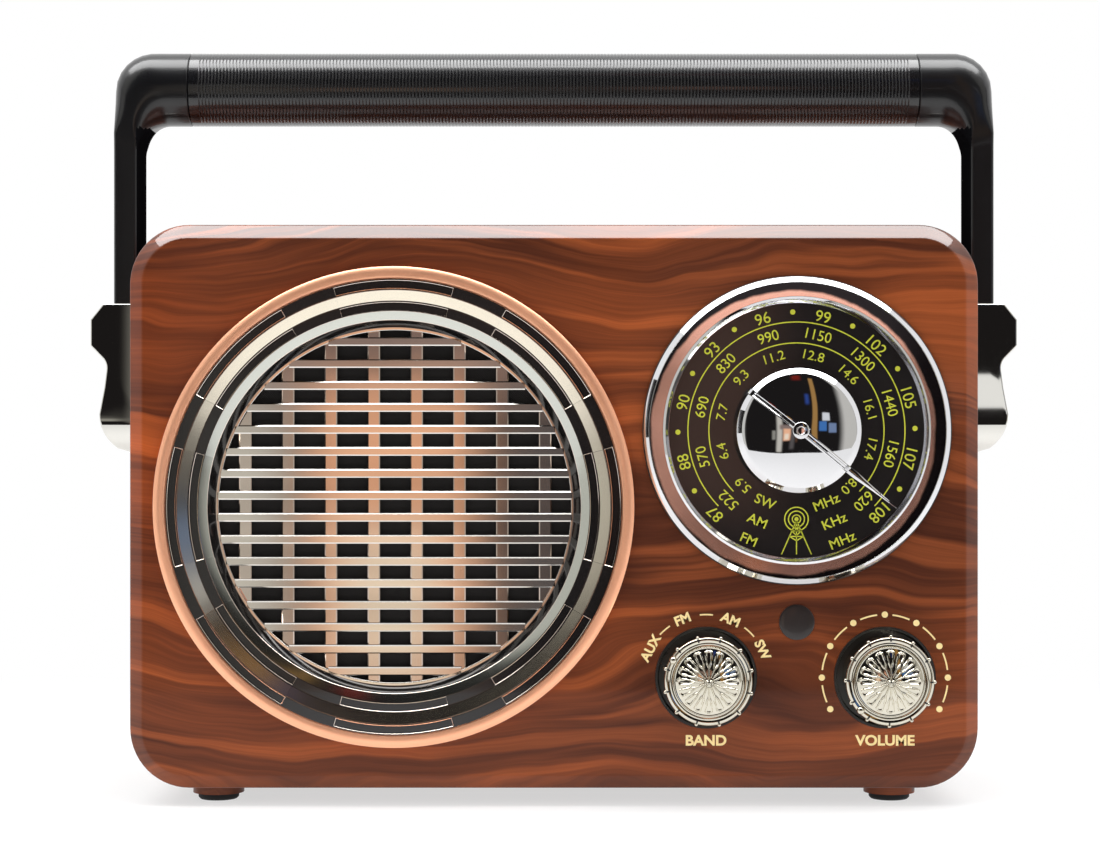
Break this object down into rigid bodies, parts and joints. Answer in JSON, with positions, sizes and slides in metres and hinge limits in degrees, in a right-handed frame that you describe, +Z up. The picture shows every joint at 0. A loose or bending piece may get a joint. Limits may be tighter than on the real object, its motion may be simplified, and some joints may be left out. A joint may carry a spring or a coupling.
{
  "type": "tabletop radio",
  "caption": "Retro tabletop radio with wood-grain cabinet, round speaker grille, round tuning dial, two small knobs, folding carrying handle and rear telescopic antenna.",
  "frame": {"origin": "on the surface it stands on, under the middle of the cabinet", "axes": "+X to the right seen from the front, +Y from front to back, +Z up"},
  "size_m": [0.29, 0.1001, 0.2326],
  "materials": {
    "wood_finish": "glossy wood-grain film under clear lacquer",
    "foot_rubber": "matt moulded rubber",
    "screw_steel": "zinc-plated steel",
    "copper_trim": "satin copper plating",
    "dark_chrome": "mirror chrome with painted slots",
    "grille_chrome": "chrome shading to rose gold",
    "grille_fabric": "black woven cloth",
    "pressed_steel": "pressed steel",
    "cone_paper": "black pressed paper",
    "spider_cloth": "impregnated cloth",
    "copper_wire": "enamelled copper wire",
    "magnet_steel": "ferrite magnet with steel plates",
    "bright_chrome": "mirror chrome",
    "rose_gold": "satin rose-gold plating",
    "dial_black": "gloss black with printed scales",
    "plate_aluminium": "bare sheet",
    "shaft_brass": "turned brass",
    "control_case": "phenolic case",
    "well_black": "satin black plastic",
    "smoked_lens": "smoked clear plastic",
    "led_plastic": "diffused red",
    "circuit_board": "green solder mask",
    "component_black": "moulded components",
    "ferrite": "dull sintered ferrite",
    "holder_white": "natural nylon",
    "antenna_chrome": "bright plated tube",
    "cell_jacket": "printed metal jacket, plain",
    "contact_nickel": "nickel plate",
    "socket_black": "moulded black",
    "button_grey": "satin grey",
    "handle_black": "gloss black, finely ribbed grip",
    "core_steel": "plain steel rod"
  },
  "bodies": {
    "cabinet": {"front_cabinet": "wood_finish", "rear_cabinet": "wood_finish", "rubber_feet": "foot_rubber", "case_screws": "screw_steel", "small_screws": "screw_steel", "speaker_trim_ring": "copper_trim", "speaker_bezel": "dark_chrome", "speaker_grille": "grille_chrome", "grille_cloth": "grille_fabric", "speaker_basket": "pressed_steel", "speaker_cone": "cone_paper", "speaker_dust_cap": "cone_paper", "speaker_spider": "spider_cloth", "voice_coil": "copper_wire", "ferrite_coil": "copper_wire", "speaker_magnet": "magnet_steel", "dial_bezel": "bright_chrome", "side_bracket_left": "bright_chrome", "side_bracket_right": "bright_chrome", "dial_inner_ring": "rose_gold", "dial_plate": "dial_black", "dial_backplate": "plate_aluminium", "shaft_nuts": "shaft_brass", "tuning_pot": "control_case", "band_switch": "control_case", "volume_pot": "control_case", "knob_wells": "well_black", "indicator_lens": "smoked_lens", "indicator_led": "led_plastic", "main_board": "circuit_board", "media_board": "circuit_board", "board_components": "component_black", "ferrite_rod": "ferrite", "ferrite_holders": "holder_white", "antenna_mount": "antenna_chrome", "battery_cells": "cell_jacket", "battery_contacts": "contact_nickel", "battery_spring": "contact_nickel", "usb_socket": "contact_nickel", "aux_jack": "socket_black", "power_jack": "socket_black"},
    "handle": {"handle_grip": "handle_black", "handle_arm_left": "handle_black", "handle_arm_right": "handle_black", "handle_core": "core_steel"},
    "tuning": {"tuning_knob": "bright_chrome", "dial_pointer": "bright_chrome", "tuning_shaft": "shaft_brass"},
    "band": {"band_knob": "bright_chrome", "band_shaft": "shaft_brass"},
    "volume": {"volume_knob": "bright_chrome", "volume_shaft": "shaft_brass"},
    "door": {"battery_door": "wood_finish"},
    "antenna": {"antenna_tube": "antenna_chrome"},
    "antenna_stage_1": {"antenna_section_1": "antenna_chrome"},
    "antenna_stage_2": {"antenna_section_2": "antenna_chrome"},
    "antenna_stage_3": {"antenna_tip": "antenna_chrome"},
    "back_button": {"button_back": "button_grey"},
    "play_button": {"button_play": "button_grey"},
    "next_button": {"button_next": "button_grey"}
  },
  "joints": [
    {"name": "handle_fold", "type": "hinge", "parent": "cabinet", "child": "handle", "pos_m": [0, 0, 0.144], "axis": [-1, 0, 0], "range_deg": [0, 95]},
    {"name": "tuning_turn", "type": "hinge", "parent": "cabinet", "child": "tuning", "pos_m": [0.0728, -0.0425, 0.1129], "axis": [0, 1, 0], "range_deg": [-264, 6.5]},
    {"name": "band_turn", "type": "hinge", "parent": "cabinet", "child": "band", "pos_m": [0.0456, -0.0425, 0.0388], "axis": [0, 1, 0], "range_deg": [-3, 123]},
    {"name": "volume_turn", "type": "hinge", "parent": "cabinet", "child": "volume", "pos_m": [0.0992, -0.0425, 0.0388], "axis": [0, 1, 0], "range_deg": [0, 268]},
    {"name": "door_swing", "type": "hinge", "parent": "cabinet", "child": "door", "pos_m": [-0.025, 0.041, 0.0117], "axis": [-1, 0, 0], "range_deg": [0, 90]},
    {"name": "antenna_swing", "type": "hinge", "parent": "cabinet", "child": "antenna", "pos_m": [0.094, 0.0365, 0.169], "axis": [0, 1, 0], "range_deg": [0, 90]},
    {"name": "antenna_pull_1", "type": "slide", "parent": "antenna", "child": "antenna_stage_1", "axis": [-1, 0, 0], "range_m": [0, 0.148]},
    {"name": "antenna_pull_2", "type": "slide", "parent": "antenna_stage_1", "child": "antenna_stage_2", "axis": [-1, 0, 0], "range_m": [0, 0.148]},
    {"name": "antenna_pull_3", "type": "slide", "parent": "antenna_stage_2", "child": "antenna_stage_3", "axis": [-1, 0, 0], "range_m": [0, 0.148]},
    {"name": "back_button_press", "type": "slide", "parent": "cabinet", "child": "back_button", "axis": [0, -1, 0], "range_m": [0, 0.0008], "stiffness_N_per_m": 500},
    {"name": "play_button_press", "type": "slide", "parent": "cabinet", "child": "play_button", "axis": [0, -1, 0], "range_m": [0, 0.0008], "stiffness_N_per_m": 500},
    {"name": "next_button_press", "type": "slide", "parent": "cabinet", "child": "next_button", "axis": [0, -1, 0], "range_m": [0, 0.0008], "stiffness_N_per_m": 500}
  ]
}
